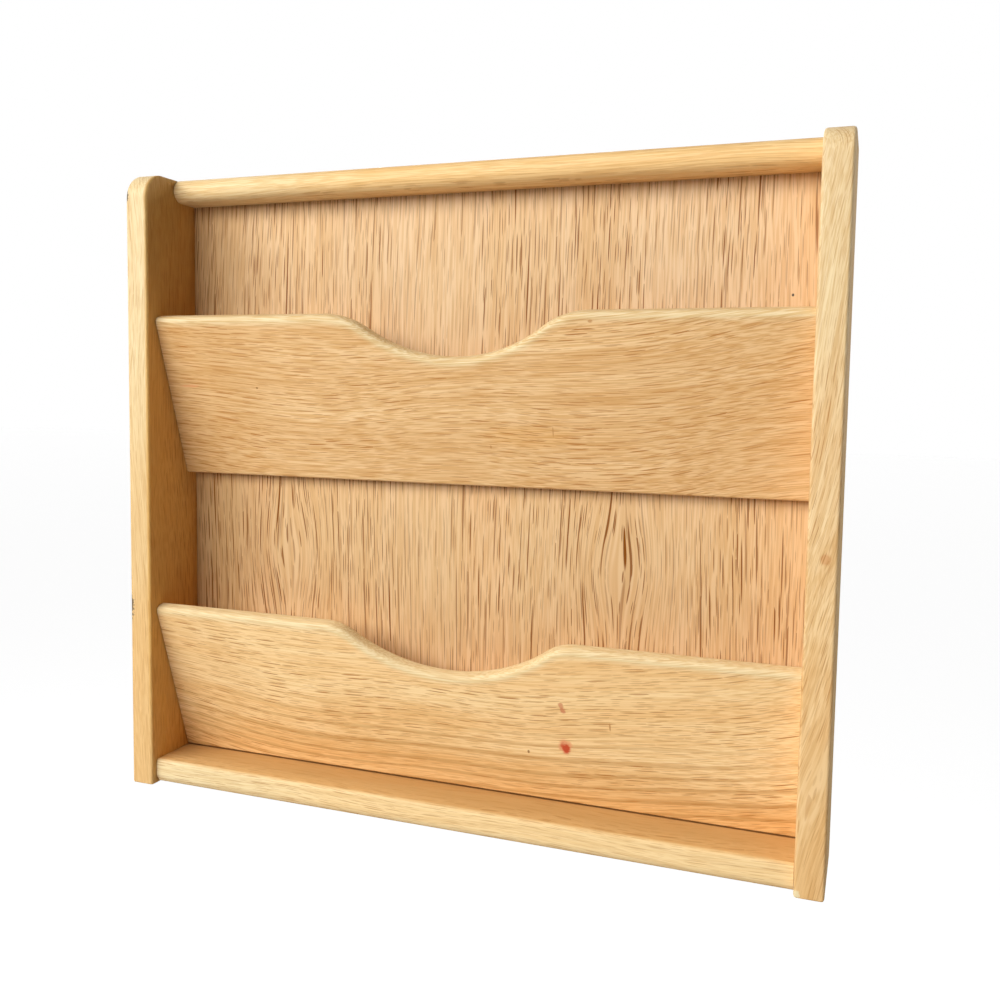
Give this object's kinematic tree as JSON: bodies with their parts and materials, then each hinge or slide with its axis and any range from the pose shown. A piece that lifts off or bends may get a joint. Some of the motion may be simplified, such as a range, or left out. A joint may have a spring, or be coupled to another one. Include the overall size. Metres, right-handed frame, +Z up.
{
  "type": "wall magazine rack",
  "caption": "Wooden wall rack with slanted, scalloped pocket fronts between side boards that hold magazines against a veneered back panel, hung by keyhole plates.",
  "frame": {"origin": "middle of the top rail's back face, on the wall plane", "axes": "+Z up, +Y into the wall, +X to the right of someone facing the rack"},
  "size_m": [0.42, 0.058, 0.38],
  "materials": {
    "rubberwood": "clear satin lacquer over honey-toned rubberwood",
    "veneered_ply": "clear satin lacquer over upright-grain veneer",
    "beech_dowel": "bare",
    "zinc_plate": "zinc plated"
  },
  "bodies": {
    "root": {"left_side": "rubberwood", "right_side": "rubberwood", "top_rail": "rubberwood", "bottom_shelf": "rubberwood", "upper_pocket_front": "rubberwood", "lower_pocket_front": "rubberwood", "back_panel": "veneered_ply", "left_rail_dowel_front": "beech_dowel", "left_rail_dowel_back": "beech_dowel", "left_shelf_dowel_front": "beech_dowel", "left_shelf_dowel_back": "beech_dowel", "left_upper_pocket_dowel_low": "beech_dowel", "left_upper_pocket_dowel_high": "beech_dowel", "left_lower_pocket_dowel_low": "beech_dowel", "left_lower_pocket_dowel_high": "beech_dowel", "right_rail_dowel_front": "beech_dowel", "right_rail_dowel_back": "beech_dowel", "right_shelf_dowel_front": "beech_dowel", "right_shelf_dowel_back": "beech_dowel", "right_upper_pocket_dowel_low": "beech_dowel", "right_upper_pocket_dowel_high": "beech_dowel", "right_lower_pocket_dowel_low": "beech_dowel", "right_lower_pocket_dowel_high": "beech_dowel", "left_hanger_plate": "zinc_plate", "right_hanger_plate": "zinc_plate", "left_hanger_screw_low": "zinc_plate", "left_hanger_screw_high": "zinc_plate", "right_hanger_screw_low": "zinc_plate", "right_hanger_screw_high": "zinc_plate"}
  },
  "joints": []
}
